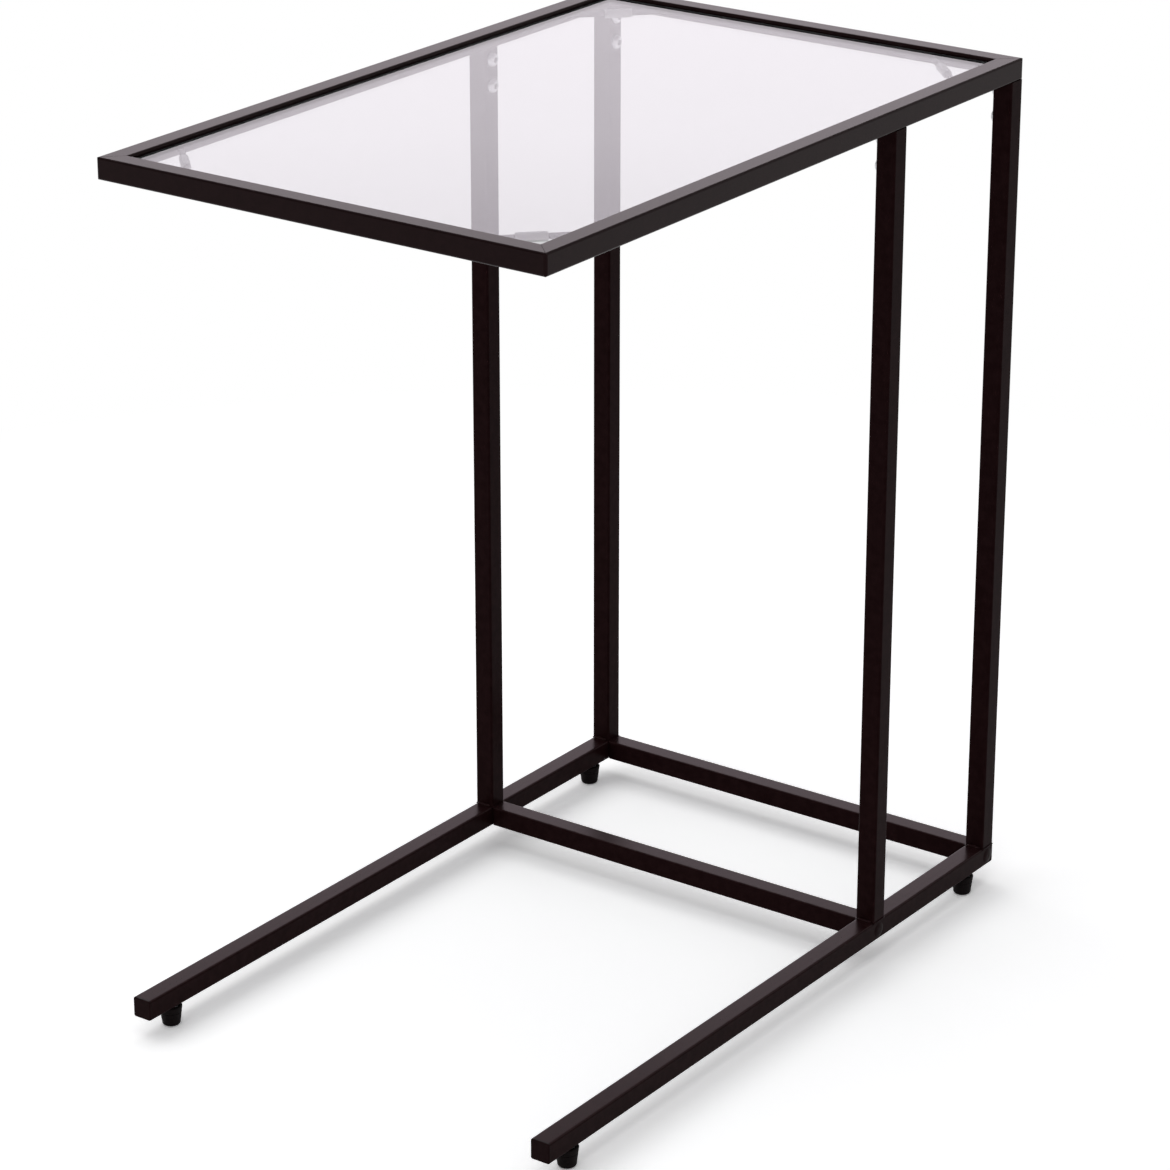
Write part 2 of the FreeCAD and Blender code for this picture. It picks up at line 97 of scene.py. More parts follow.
class Board:
    """A node tree with short ways to add and join nodes."""

    def __init__(self, owner: bpy.types.Material | bpy.types.World) -> None:
        """Empties the owner's node tree.

        Args:
            owner: The material or world that the nodes belong to.
        """
        owner.use_nodes = True
        self.nodes = owner.node_tree.nodes
        self.links = owner.node_tree.links
        self.nodes.clear()

    def add(self, kind: str, **inputs: object) -> bpy.types.Node:
        """Adds a node and sets its sockets.

        Args:
            kind: Blender's type name of the node, without its prefix.
            inputs: Values by socket name, with underscores for spaces.

        Returns:
            The new node.
        """
        node = self.nodes.new("ShaderNode" + kind)
        for name, value in inputs.items():
            node.inputs[name.replace("_", " ")].default_value = value
        return node

    def join(self, start: Socket, end: Socket) -> None:
        """Links two sockets."""
        self.links.new(start, end)

    def noise(self, place: Socket, scale: float, detail: float) -> Socket:
        """Adds a noise that is fixed to the piece.

        Args:
            place: The coordinates to read.
            scale: Cells per metre.
            detail: How many finer layers it has.

        Returns:
            The noise's factor socket.
        """
        node = self.add("TexNoise", Scale=scale, Detail=detail)
        self.join(place, node.inputs["Vector"])
        return node.outputs["Fac"]

    def ramp(self, factor: Socket, low: Colour, high: Colour, start: float, end: float) -> Socket:
        """Spreads a factor between two colours.

        Args:
            factor: The factor to read.
            low: The colour at and below start.
            high: The colour at and above end.
            start: Where the change begins.
            end: Where the change is done.

        Returns:
            The colour socket.
        """
        node = self.add("ValToRGB")
        node.color_ramp.elements[0].position = start
        node.color_ramp.elements[0].color = (*low, 1.0)
        node.color_ramp.elements[1].position = end
        node.color_ramp.elements[1].color = (*high, 1.0)
        self.join(factor, node.inputs["Fac"])
        return node.outputs["Color"]

    def spread(self, value: Socket, low: float, high: float,
               start: float = 0.0, end: float = 1.0) -> Socket:
        """Maps one range of a value on to another.

        Args:
            value: The value to read.
            low: The result at start.
            high: The result at end.
            start: The value that gives low.
            end: The value that gives high.

        Returns:
            The result socket.
        """
        node = self.add("MapRange", From_Min=start, From_Max=end, To_Min=low, To_Max=high)
        self.join(value, node.inputs["Value"])
        return node.outputs["Result"]

    def bump(self, height: Socket, depth: float, strength: float) -> Socket:
        """Adds a bump.

        Args:
            height: The height to read.
            depth: The bump's depth in metres.
            strength: The bump's strength, up to 1.

        Returns:
            The normal socket.
        """
        node = self.add("Bump", Distance=depth, Strength=strength)
        self.join(height, node.inputs["Height"])
        return node.outputs["Normal"]

    def either(self, *factors: Socket) -> Socket:
        """Gives 1 where any of the factors is 1.

        Args:
            factors: The factors to read.

        Returns:
            The largest factor's socket.
        """
        total = factors[0]
        for factor in factors[1:]:
            node = self.add("Math")
            node.operation = "MAXIMUM"
            self.join(total, node.inputs[0])
            self.join(factor, node.inputs[1])
            total = node.outputs["Value"]
        return total

    def seen(self) -> Socket:
        """Gives 1 for rays of the camera, reflections and clear pieces, and 0 for rays of light."""
        path = self.add("LightPath").outputs
        return self.either(path["Is Camera Ray"], path["Is Glossy Ray"],
                           path["Is Transmission Ray"])

    def upward(self) -> Socket:
        """Reads how far the piece's surface faces up.

        Returns:
            A socket that is 1 where it faces up, 0 where it is upright and minus 1 facing down.
        """
        parts = self.add("SeparateXYZ")
        self.join(self.add("TexCoord").outputs["Normal"], parts.inputs["Vector"])
        return parts.outputs["Z"]

    def mix(self, factor: Socket, first: Socket, second: Socket) -> Socket:
        """Mixes two shaders.

        Args:
            factor: The share of the second.
            first: The shader at 0.
            second: The shader at 1.

        Returns:
            The mixed shader's socket.
        """
        node = self.add("MixShader")
        self.join(factor, node.inputs["Fac"])
        self.join(first, node.inputs[1])
        self.join(second, node.inputs[2])
        return node.outputs["Shader"]

    def close(self, shader: Socket, output: str = "OutputMaterial") -> None:
        """Joins a shader to the tree's output."""
        self.join(shader, self.add(output).inputs["Surface"])


@dataclass(frozen=True)
class CoatedSurface:
    """A rough or satin surface with two close colours, a grained roughness and a fine bump; where
    set, upward faces get a painted highlight and hollows painted shade.
    """

    name: str
    dark: Colour
    light: Colour
    roughness: Span
    side_specular: float
    # the specular level of upward faces; higher than the sides' one, it gives the tops a painted
    # highlight
    upward_highlight_specular: float
    mottle_per_m: float
    grain_per_m: float
    grain_depth: float
    grain_strength: float
    metallic: float = 0.0
    specular_tint: Colour = (1.0, 1.0, 1.0)
    mottle_detail: float = 3.0
    mottle_span: Span = (0.35, 0.65)
    grain_detail: float = 2.0
    upward_highlight_span: Span = (0.5, 0.95)
    # reach, darkest factor and span of the painted shade in hollows; a reach of 0 leaves it out
    painted_shade_reach: float = 0.0
    painted_shade_darkest: float = 0.06
    painted_shade_span: Span = (0.35, 0.8)

    def painted_hollow_shade(self, board: Board, colour: Socket) -> Socket:
        """Paints shade into the colour: darkens it in narrow hollows, the more the nearby surfaces
        close them in.

        Args:
            board: The material's board.
            colour: The open surface's colour.

        Returns:
            The colour with painted shade in the hollows.
        """
        # painted shade: ambient occlusion darkens the colour where the surface is closed in
        open_share = board.add("AmbientOcclusion", Distance=self.painted_shade_reach).outputs["AO"]
        shade = board.spread(open_share, self.painted_shade_darkest, 1.0, *self.painted_shade_span)
        shaded = board.add("VectorMath")
        shaded.operation = "SCALE"
        board.join(colour, shaded.inputs[0])
        board.join(shade, shaded.inputs["Scale"])
        return shaded.outputs["Vector"]

    def material(self) -> bpy.types.Material:
        """Makes the material.

        Returns:
            The material.
        """
        made = bpy.data.materials.new(self.name)
        board = Board(made)
        place = board.add("TexCoord").outputs["Object"]
        mottle = board.noise(place, self.mottle_per_m, self.mottle_detail)
        grain = board.noise(place, self.grain_per_m, self.grain_detail)
        surface = board.add("BsdfPrincipled", Metallic=self.metallic,
                            Specular_Tint=(*self.specular_tint, 1.0))
        specular = surface.inputs["Specular IOR Level"]
        specular.default_value = self.upward_highlight_specular
        # Upward faces take a higher specular level than upright ones: a painted highlight on the
        # tops.
        if self.side_specular < self.upward_highlight_specular:
            board.join(board.spread(board.upward(), self.side_specular, self.upward_highlight_specular,
                                    *self.upward_highlight_span), specular)
        colour = board.ramp(mottle, self.dark, self.light, *self.mottle_span)
        # pieces with a reach, the zinc ones, get painted shade in their hollows
        if self.painted_shade_reach > 0:
            colour = self.painted_hollow_shade(board, colour)
        board.join(colour, surface.inputs["Base Color"])
        board.join(board.spread(grain, *self.roughness), surface.inputs["Roughness"])
        normal = board.bump(grain, self.grain_depth, self.grain_strength)
        board.join(normal, surface.inputs["Normal"])
        board.close(surface.outputs["BSDF"])
        return made


@dataclass(frozen=True)
class ClearSheet:
    """A clear or cloudy material whose shadow is pale, with faint surface waviness."""

    name: str
    tint: Colour
    ior: float
    roughness: Span
    wave_per_m: float
    wave_depth: float
    clearness: float
    shade: Colour
    wave_detail: float = 1.0
    wave_strength: float = 0.5
    # the colour of the upright edges, dark as painted shade; None leaves the edges clear
    painted_dark_edge: Colour | None = None
    edge_roughness: float = 0.4
    edge_span: Span = (0.75, 0.9)

    def with_painted_dark_edge(self, board: Board, clear: Socket) -> Socket:
        """Covers the upright edges with a rough, opaque, dark surface: the roughness is the ground
        edge's own, and the darkness is painted shade that keeps light from showing through the
        edges.

        Args:
            board: The material's board.
            clear: The clear shader.

        Returns:
            The shader with the edges covered.
        """
        dark_edge_surface = board.add("BsdfPrincipled", Base_Color=(*self.painted_dark_edge, 1.0),
                           Roughness=self.edge_roughness)
        level = board.add("Math")
        level.operation = "ABSOLUTE"
        board.join(board.upward(), level.inputs[0])
        upright = board.spread(level.outputs["Value"], 1.0, 0.0, *self.edge_span)
        return board.mix(upright, clear, dark_edge_surface.outputs["BSDF"])

    def material(self) -> bpy.types.Material:
        """Makes the material.

        Returns:
            The material.
        """
        made = bpy.data.materials.new(self.name)
        board = Board(made)
        place = board.add("TexCoord").outputs["Object"]
        wave = board.noise(place, self.wave_per_m, self.wave_detail)
        surface = board.add("BsdfPrincipled", Base_Color=(*self.tint, 1.0), IOR=self.ior,
                            Transmission_Weight=self.clearness)
        board.join(board.spread(wave, *self.roughness), surface.inputs["Roughness"])
        normal = board.bump(wave, self.wave_depth, self.wave_strength)
        board.join(normal, surface.inputs["Normal"])
        shader = surface.outputs["BSDF"]
        # the glass's dark upright edges are painted shade
        if self.painted_dark_edge is not None:
            shader = self.with_painted_dark_edge(board, shader)
        passing = board.add("BsdfTransparent", Color=(*self.shade, 1.0))
        shadow = board.add("LightPath").outputs["Is Shadow Ray"]
        board.close(board.mix(shadow, shader, passing.outputs["BSDF"]))
        return made


Finish = CoatedSurface | ClearSheet

POWDER_COAT = CoatedSurface(
    name="powder_coat", dark=(0.0101, 0.0032, 0.0035), light=(0.0147, 0.0054, 0.0058),
    roughness=(0.24, 0.36), side_specular=0.018, upward_highlight_specular=0.66, specular_tint=(1.0, 0.65, 0.68),
    mottle_per_m=160.0, grain_per_m=1100.0, grain_depth=0.00006, grain_strength=0.35)
# A copy of the powder coat for the top rails, glossier on its upright faces and darker, so that
# these faces show a painted reflection lighter than that of the posts and runners.
TOP_FRAME_LIT_COAT = replace(
    POWDER_COAT, name="top_frame_lit_coat", side_specular=0.09,
    dark=(0.0056, 0.0018, 0.0020), light=(0.0082, 0.0030, 0.0033))
ZINC_PLATE = CoatedSurface(
    name="zinc_plate", dark=(0.52, 0.52, 0.54), light=(0.74, 0.74, 0.75),
    roughness=(0.22, 0.42), side_specular=0.5, upward_highlight_specular=0.5, metallic=1.0, painted_shade_reach=0.004,
    mottle_per_m=700.0, grain_per_m=2600.0, grain_depth=0.00003, grain_strength=0.3)
MOULDED_PLASTIC = CoatedSurface(
    name="moulded_plastic", dark=(0.0103, 0.0036, 0.0039), light=(0.0142, 0.0056, 0.0060),
    roughness=(0.25, 0.38), side_specular=0.02, upward_highlight_specular=0.5,
    mottle_per_m=240.0, grain_per_m=2000.0, grain_depth=0.00005, grain_strength=0.35)
FOOT_RUBBER = CoatedSurface(
    name="foot_rubber", dark=(0.0048, 0.0028, 0.0029), light=(0.0080, 0.0052, 0.0054),
    roughness=(0.5, 0.75), side_specular=0.06, upward_highlight_specular=0.2,
    mottle_per_m=500.0, grain_per_m=1700.0, grain_depth=0.00008, grain_strength=0.4)
TABLE_GLASS = ClearSheet(
    name="table_glass", tint=(0.62, 0.62, 0.63), ior=1.5, roughness=(0.0, 0.012), clearness=1.0,
    shade=(0.93, 0.94, 0.95), wave_per_m=9.0, wave_depth=0.00002, painted_dark_edge=(0.035, 0.045, 0.045))
SLEEVE_VINYL = ClearSheet(
    name="sleeve_vinyl", tint=(0.50, 0.50, 0.49), ior=1.45, roughness=(0.25, 0.4), clearness=0.2,
    shade=(0.70, 0.71, 0.72), wave_per_m=400.0, wave_depth=0.00003)

FINISHES: dict[Slot, Finish] = {
    Slot.PAINT: POWDER_COAT,
    Slot.GLASS: TABLE_GLASS,
    Slot.ZINC: ZINC_PLATE,
    Slot.PLASTIC: MOULDED_PLASTIC,
    Slot.RUBBER: FOOT_RUBBER,
    Slot.SLEEVE: SLEEVE_VINYL,
}
TOP_RAILS = ("top_front_rail", "top_rear_rail", "top_left_rail", "top_right_rail")
OWN_FINISHES: dict[str, Finish] = dict.fromkeys(TOP_RAILS, TOP_FRAME_LIT_COAT)


@dataclass
class Finisher:
    """Keeps one material for each finish and puts it on nodes and pieces."""

    made: dict[str, bpy.types.Material] = field(default_factory=dict)

    def material(self, finish: Finish) -> bpy.types.Material:
        """Gives the finish's material, made once.

        Args:
            finish: The finish to look up.

        Returns:
            The material.
        """
        if finish.name not in self.made:
            self.made[finish.name] = finish.material()
        return self.made[finish.name]

    def dress_nodes(self) -> None:
        """Puts its own finish, or else its slot's, on each CAD node."""
        for subpart in frame["record"]["subparts"]:
            node = frame["nodes"][subpart["node"]]
            usual = FINISHES[Slot(subpart["material_slot"])]
            finish = OWN_FINISHES.get(subpart["node"], usual)
            for place in node.material_slots:
                place.link = "OBJECT"
                place.material = self.material(finish)
            LOG.info("dressed %s in %s", node.name, finish.name)

    def dress_piece(self, piece: bpy.types.Object, slot: Slot, body: str, *nodes: str) -> None:
        """Finishes a new piece and sets it on its body.

        Args:
            piece: The piece.
            slot: The slot whose finish it takes.
            body: The body that it moves with.
            nodes: The CAD nodes that it stands for.
        """
        piece.data.materials.append(self.material(FINISHES[slot]))
        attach(piece, body)
        if nodes:
            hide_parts(*nodes)
        LOG.info("made %s on %s in %s", piece.name, body, slot.value)


class Skin:
    """A mesh drawn over rows of points."""

    MERGE = 1e-6

    def __init__(self) -> None:
        """Starts an empty mesh."""
        self.mesh = bmesh.new()

    def row(self, points: list[Vector]) -> list[bmesh.types.BMVert]:
        """Adds a row of points and gives their vertices."""
        return [self.mesh.verts.new(point) for point in points]

    def loft(self, rows: list[list[Vector]]) -> None:
        """Joins closed rows of equal count, each to the next.

        Args:
            rows: The rows, in order.
        """
        below = self.row(rows[0])
        for points in rows[1:]:
            above = self.row(points)
            for k, vertex in enumerate(below):
                after = (k + 1) % len(below)
                self.mesh.faces.new((vertex, below[after], above[after], above[k]))
            below = above

    def piece(self, name: str, sharp_deg: float = 35.0) -> bpy.types.Object:
        """Merges doubled points, closes the open ends and makes the object.

        Args:
            name: The piece's name.
            sharp_deg: The angle above which an edge stays sharp.

        Returns:
            The object.
        """
        bmesh.ops.remove_doubles(self.mesh, verts=self.mesh.verts[:], dist=self.MERGE)
        bmesh.ops.holes_fill(self.mesh, edges=self.mesh.edges[:], sides=0)
        bmesh.ops.recalc_face_normals(self.mesh, faces=self.mesh.faces[:])
        data = bpy.data.meshes.new(name)
        self.mesh.to_mesh(data)
        self.mesh.free()
        for face in data.polygons:
            face.use_smooth = True
        data.set_sharp_from_angle(angle=math.radians(sharp_deg))
        piece = bpy.data.objects.new(name, data)
        bpy.context.scene.collection.objects.link(piece)
        return piece


def axis_foot(low: Vector, high: Vector) -> Vector:
    """The middle of a box's underside."""
    return Vector(((low.x + high.x) / 2, (low.y + high.y) / 2, low.z))


def arc(centre: tuple[float, float], radius: float, start_deg: float, end_deg: float,
        steps: int = 8) -> Outline:
    """The points of an arc in an outline.

    Args:
        centre: Its centre, as radius and height.
        radius: Its radius.
        start_deg: Where it starts, from the outward direction.
        end_deg: Where it ends.
        steps: How many straight pieces it has.

    Returns:
        The points.
    """
    points = []
    for k in range(steps + 1):
        angle = math.radians(start_deg + (end_deg - start_deg) * k / steps)
        points.append((centre[0] + radius * math.cos(angle), centre[1] + radius * math.sin(angle)))
    return points


def round_point(foot: Vector, radius: float, angle: float, height: float) -> Vector:
    """A point at a radius, angle and height from the foot of an upright axis."""
    return foot + Vector((radius * math.cos(angle), radius * math.sin(angle), height))


def turned_rows(foot: Vector, rows: list[Row], columns: int) -> list[list[Vector]]:
    """Points round an upright axis, with a radius that may change with the angle.

    Args:
        foot: The axis's foot.
        rows: Each row's height over the foot, and its radius by angle.
        columns: How many points a row has.

    Returns:
        The rows of points.
    """
    angles = [math.tau * k / columns for k in range(columns)]
    return [[round_point(foot, radius(angle), angle, height) for angle in angles]
            for height, radius in rows]


def steady(radius: float) -> Shape:
    """A radius that is the same all round."""
    return lambda angle: radius


def steady_rows(outline: Outline) -> list[Row]:
    """The rows of an outline that is round at every height."""
    return [(height, steady(radius)) for radius, height in outline]


def chamfered_hexagon(flats: float, limit: float) -> Shape:
    """A hexagon's radius by angle, cut off by a circle.

    Args:
        flats: The width across flats.
        limit: The circle's radius.

    Returns:
        The radius by angle.
    """
    sector = math.radians(60)

    def radius(angle: float) -> float:
        """The radius at an angle."""
        turn = angle % sector - sector / 2
        return min(flats / 2 / math.cos(turn), limit)

    return radius


@dataclass
class LevellingFeet:
    """The four screw-in feet: a threaded stud with a hexagon, and a rubber pad that it turns in."""

    columns: int = 72
    head_radius: float = 0.0045
    head_height: float = 0.003
    head_edge: float = 0.0004
    neck_radius: float = 0.003
    hex_flats: float = 0.010
    hex_base: float = 0.00885
    hex_height: float = 0.0025
    hex_chamfer_inset: float = 0.00025
    hex_chamfer_deg: float = 30.0
    hex_chamfer_steps: int = 5
    thread_major: float = 0.00297
    thread_minor: float = 0.00237
    thread_pitch: float = 0.001
    thread_form: tuple[float, ...] = (1.0, 1.0, 0.67, 0.33, 0.0, 0.0, 0.33, 0.67)
    thread_spare_turns: int = 2
    pad_base_radius: float = 0.0065
    pad_base_fillet: float = 0.002
    pad_shoulder_fillet: float = 0.0008
    pad_floor: float = 0.0036
    pad_clearance: float = 0.00025
    rim_height: float = 0.002
    rim_clearance: float = 0.0003
    grip_radii: tuple[float, ...] = (0.0013, 0.0027)
    grip_width: float = 0.0006
    grip_depth: float = 0.0005
    rib_height: float = 0.0095
    rib_width: float = 0.0006
    rib_depth: float = 0.0003

    @property
    def hex_corner(self) -> float:
        """The hexagon's radius at its corners."""
        return self.hex_flats / math.sqrt(3)

    def hexagon_rows(self) -> list[Row]:
        """The hexagon's rows, with both ends chamfered.

        Returns:
            The rows, from the base up.
        """
        circle = self.hex_flats / 2 - self.hex_chamfer_inset
        slope = math.tan(math.radians(self.hex_chamfer_deg))
        steps = self.hex_chamfer_steps
        rises = [(self.hex_corner - circle) * slope * k / steps for k in range(steps + 1)]
        cuts = [(rise, chamfered_hexagon(self.hex_flats, circle + rise / slope)) for rise in rises]
        top = self.hex_base + self.hex_height
        rows = [(self.hex_base + rise, cut) for rise, cut in cuts]
        rows += [(top - rise, cut) for rise, cut in reversed(cuts)]
        return rows

    def add_thread(self, skin: Skin, foot: Vector, start: float, end: float) -> None:
        """Adds a right-hand thread whose rows follow its helix.

        Args:
            skin: The mesh to add to.
            foot: The axis's foot.
            start: The height where the thread starts.
            end: The height where it ends.
        """
        per_turn = len(self.thread_form)
        turns = math.ceil((end - start) / self.thread_pitch) + self.thread_spare_turns
        count = per_turn * turns
        depth = self.thread_major - self.thread_minor
        grid = []
        for column in range(self.columns):
            turn = column / self.columns
            points = []
            for row in range(count + per_turn):
                height = start + self.thread_pitch * (row / per_turn + turn - 1)
                height = min(max(height, start), end)
                radius = self.thread_minor + depth * self.thread_form[row % per_turn]
                run_in = self.thread_minor + height - start
                run_out = self.thread_minor + end - height
                radius = min(radius, run_in, run_out)
                points.append(round_point(foot, radius, math.tau * turn, height))
            grid.append(skin.row(points))
        for column, here in enumerate(grid):
            beside = grid[(column + 1) % self.columns]
            shift = per_turn if column == self.columns - 1 else 0
            for row in range(count - 1):
                low, high = row + shift, row + shift + 1
                skin.mesh.faces.new((here[row], beside[low], beside[high], here[row + 1]))

    def build_stud(self, corner: Corner) -> bpy.types.Object:
        """Builds a stud over the space of its CAD node.

        Args:
            corner: Which foot it belongs to.

        Returns:
            The piece.
        """
        low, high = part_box("foot_stud_" + corner.value)
        foot = axis_foot(low, high)
        edge, head, neck = self.head_edge, self.head_radius, self.neck_radius
        rows = steady_rows([
            (0.0, 0.0), (head - edge, 0.0), (head, edge), (head, self.head_height - edge),
            (head - edge, self.head_height), (neck, self.head_height), (neck, self.hex_base)])
        rows += self.hexagon_rows()
        thread_start = self.hex_base + self.hex_height
        rows.append((thread_start, steady(self.thread_minor)))
        skin = Skin()
        skin.loft(turned_rows(foot, rows, self.columns))
        self.add_thread(skin, foot, thread_start, high.z - low.z)
        return skin.piece("levelling_stud_" + corner.value)

    def pad_outline(self, top: float, wide: float) -> Outline:
        """The pad's outline from the middle of its underside round to the middle of its hollow.

        Args:
            top: The height of its seat under the hexagon.
            wide: The radius of its shoulder.

        Returns:
            The outline, as radius and height.
        """
        outline = [(0.0, 0.0)]
        depth = self.grip_depth
        for radius in self.grip_radii:
            outer = radius + self.grip_width
            outline += [(radius, 0.0), (radius, depth), (outer, depth), (outer, 0.0)]
        fillet, shoulder = self.pad_base_fillet, self.pad_shoulder_fillet
        outline += arc((self.pad_base_radius - fillet, fillet), fillet, -90, 0)
        crest = top + self.rim_height
        slope = (wide - self.pad_base_radius) / (crest - shoulder - fillet)
        rib = self.pad_base_radius + slope * (self.rib_height - fillet)
        rib_top = self.rib_height + self.rib_width
        outline += [(rib, self.rib_height),
                    (rib - self.rib_depth, self.rib_height + self.rib_depth),
                    (rib - self.rib_depth, rib_top),
                    (rib + slope * self.rib_width, rib_top + self.rib_depth)]
        outline += arc((wide - shoulder, crest - shoulder), shoulder, 0, 90)
        pocket = self.hex_corner + self.rim_clearance
        neck = self.neck_radius + self.pad_clearance
        cavity = self.head_radius + self.pad_clearance
        roof = self.pad_floor + self.head_height + 2 * self.pad_clearance
        outline += [(pocket, crest), (pocket, top), (neck, top), (neck, roof), (cavity, roof),
                    (cavity, self.pad_floor), (0.0, self.pad_floor)]
        return outline

    def build_pad(self, corner: Corner) -> bpy.types.Object:
        """Builds a rubber pad over the space of its CAD node.

        Args:
            corner: Which foot it belongs to.

        Returns:
            The piece.
        """
        low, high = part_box("foot_pad_" + corner.value)
        outline = self.pad_outline(high.z - low.z, (high.x - low.x) / 2)
        skin = Skin()
        skin.loft(turned_rows(axis_foot(low, high), steady_rows(outline), self.columns))
        return skin.piece("levelling_pad_" + corner.value)

    def build(self, finisher: Finisher) -> None:
        """Builds and dresses the four feet.

        Args:
            finisher: What finishes the pieces.
        """
        for corner in Corner:
            finisher.dress_piece(self.build_stud(corner), Slot.ZINC, "stud_" + corner.value,
                                 "foot_stud_" + corner.value)
            finisher.dress_piece(self.build_pad(corner), Slot.RUBBER, "foot_" + corner.value,
                                 "foot_pad_" + corner.value)


@dataclass
class FrameWelds:
    """The painted welds at the feet of the posts and round the ends of the corner rods."""

    step: float = 0.00022
    least_stations: int = 8
    ripple_pitch: float = 0.0014
    ripple: float = 0.10
    bulge: float = 0.22
    sunk: float = 0.0002
    run_out: float = 0.0012
    tip_share: float = 0.02
    tube_corner: float = 0.0015
    post_leg: float = 0.0017
    seam_ledge: float = 0.0007
    seam_foot: float = 0.0002
    seam_drop: float = 0.0009
    rod_radius: float = 0.002
    rod_leg: float = 0.0009
    rod_columns: int = 48
    rod_ripples: int = 9
    profile_steps: int = 6
    sharp_deg: float = 50.0

    def shares(self) -> list[float]:
        """The shares of a bead's width at which its face has points."""
        return [k / self.profile_steps for k in range(self.profile_steps + 1)]

    def swell(self, share: float) -> float:
        """How far a bead's face bulges at a share of its width, for a leg of 1."""
        return self.bulge * 4 * share * (1 - share)

    def add_bead(self, skin: Skin, start: Vector, end: Vector, first: Vector,
                 second: Vector) -> None:
        """Adds one rippled bead in the corner between two faces.

        Args:
            skin: The mesh to add to.
            start: Where the bead starts, in the corner.
            end: Where it ends.
            first: The leg along one face.
            second: The leg along the other face.
        """
        length = (end - start).length
        stations = max(self.least_stations, round(length / self.step))
        outward = (first.normalized() + second.normalized()).normalized()
        shorter = min(first.length, second.length)
        rows = []
        for k in range(stations + 1):
            along = length * k / stations
            near = min(along, length - along) / self.run_out
            size = math.sqrt(min(1.0, max(near, self.tip_share)))
            size *= 1.0 - self.ripple * (along / self.ripple_pitch % 1.0)
            corner = start.lerp(end, k / stations)
            points = [corner - outward * self.sunk]
            for share in self.shares():
                leg = first.lerp(second, share) * size
                points.append(corner + leg + outward * (self.swell(share) * size * shorter))
            rows.append(points)
        skin.loft(rows)

    def build_post_welds(self) -> bpy.types.Object:
        """Builds the beads where the posts stand on the runners.

        Returns:
            The piece.
        """
        skin = Skin()
        for corner in Corner:
            low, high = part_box("post_" + corner.value)
            faces = [(low.y, -1)] if corner.end > 0 else [(low.y, -1), (high.y, 1)]
            for y, way in faces:
                start = Vector((low.x + self.tube_corner, y, low.z))
                end = Vector((high.x - self.tube_corner, y, low.z))
                self.add_bead(skin, start, end, Vector((0, 0, self.post_leg)),
                              Vector((0, way * self.post_leg, 0)))
            for x, way in ((low.x, -1), (high.x, 1)):
                self.add_bead(skin, Vector((x, low.y, low.z)), Vector((x, high.y, low.z)),
                              Vector((way * self.seam_ledge, 0, 0)),
                              Vector((way * self.seam_foot, 0, -self.seam_drop)))
        return skin.piece("post_foot_welds", self.sharp_deg)

    def add_collar(self, skin: Skin, centre: Vector, inward: Vector, along: Vector) -> None:
        """Adds the rippled bead round a rod's end.

        Args:
            skin: The mesh to add to.
            centre: Where the rod's axis meets the rail's face.
            inward: The direction out of that face.
            along: The rod's direction away from the face.
        """
        across = UP.cross(along)
        rows = []
        for k in range(self.rod_columns + 1):
            turn = k / self.rod_columns
            angle = math.tau * turn
            radial = across * math.cos(angle) + UP * math.sin(angle)
            rim = radial * self.rod_radius
            rim -= along * (rim.dot(inward) / along.dot(inward))
            size = self.rod_leg * (1.0 - self.ripple * (turn * self.rod_ripples % 1.0))
            on_rail, on_rod = rim.normalized() * size, along * size
            outward = (on_rail + on_rod).normalized()
            points = [centre + rim - radial * self.sunk]
            for share in self.shares():
                leg = on_rail.lerp(on_rod, share) + outward * (self.swell(share) * size)
                points.append(centre + rim + leg)
            rows.append(points)
        skin.loft(rows)

    def build_rod_welds(self) -> bpy.types.Object:
        """Builds the beads round the rod ends, against the rails.

        Returns:
            The piece.
        """
        skin = Skin()
        overlap = self.rod_radius * math.sqrt(2)
        for corner in Corner:
            low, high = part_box("corner_rod_" + corner.value)
            axis = (low.z + high.z) / 2
            side_x, inner_x = (high.x, low.x) if corner.side > 0 else (low.x, high.x)
            end_y, inner_y = (high.y, low.y) if corner.end > 0 else (low.y, high.y)
            along = Vector((-corner.side, corner.end, 0)).normalized()
            self.add_collar(skin, Vector((side_x, inner_y + corner.end * overlap, axis)),
                            Vector((-corner.side, 0, 0)), along)
            self.add_collar(skin, Vector((inner_x + corner.side * overlap, end_y, axis)),
                            Vector((0, -corner.end, 0)), -along)
        return skin.piece("rod_end_welds", self.sharp_deg)

    def build(self, finisher: Finisher) -> None:
        """Builds and dresses the welds."""
        finisher.dress_piece(self.build_post_welds(), Slot.PAINT, "frame")
        finisher.dress_piece(self.build_rod_welds(), Slot.PAINT, "frame")


